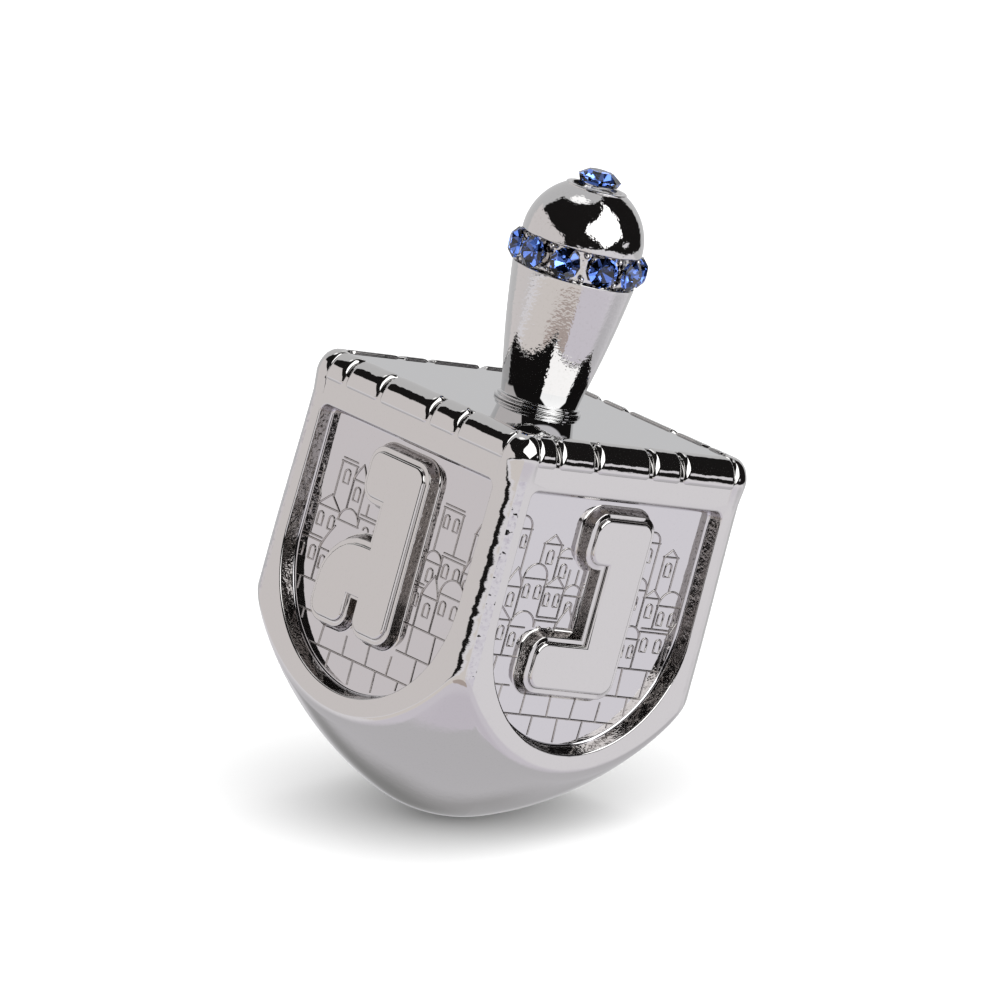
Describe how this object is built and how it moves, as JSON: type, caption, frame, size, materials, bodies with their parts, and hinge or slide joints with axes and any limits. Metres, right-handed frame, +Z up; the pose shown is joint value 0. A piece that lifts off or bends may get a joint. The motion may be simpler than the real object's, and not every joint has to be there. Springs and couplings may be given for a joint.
{
  "type": "dreidel",
  "caption": "Square metal spinning top with a sunk lettered panel on every face, a blunt rounded tip and a tapered stem set with round cut stones.",
  "frame": {"origin": "lowest point of the blunt spinning tip, on the spin axis", "axes": "+Z up the spin axis towards the stem; -Y, +X, +Y and -X are the outward normals of the faces"},
  "size_m": [0.031, 0.031, 0.0635],
  "materials": {
    "plated_casting": "bright nickel plating over a die casting, with a slight as-cast unevenness",
    "polished_plate": "bright nickel plating, polished flat",
    "plated_stem": "bright nickel plating over a turned casting",
    "blue_glass": "sapphire-blue cut glass with a foil back",
    "fixing_steel": "zinc-plated steel"
  },
  "bodies": {
    "root": {"body": "plated_casting", "top_plate": "polished_plate", "stem": "plated_stem", "stem_screw": "fixing_steel", "lock_washer": "fixing_steel", "top_stone": "blue_glass", "band_stone_01": "blue_glass", "band_stone_02": "blue_glass", "band_stone_03": "blue_glass", "band_stone_04": "blue_glass", "band_stone_05": "blue_glass", "band_stone_06": "blue_glass", "band_stone_07": "blue_glass", "band_stone_08": "blue_glass", "band_stone_09": "blue_glass", "band_stone_10": "blue_glass"}
  },
  "joints": []
}
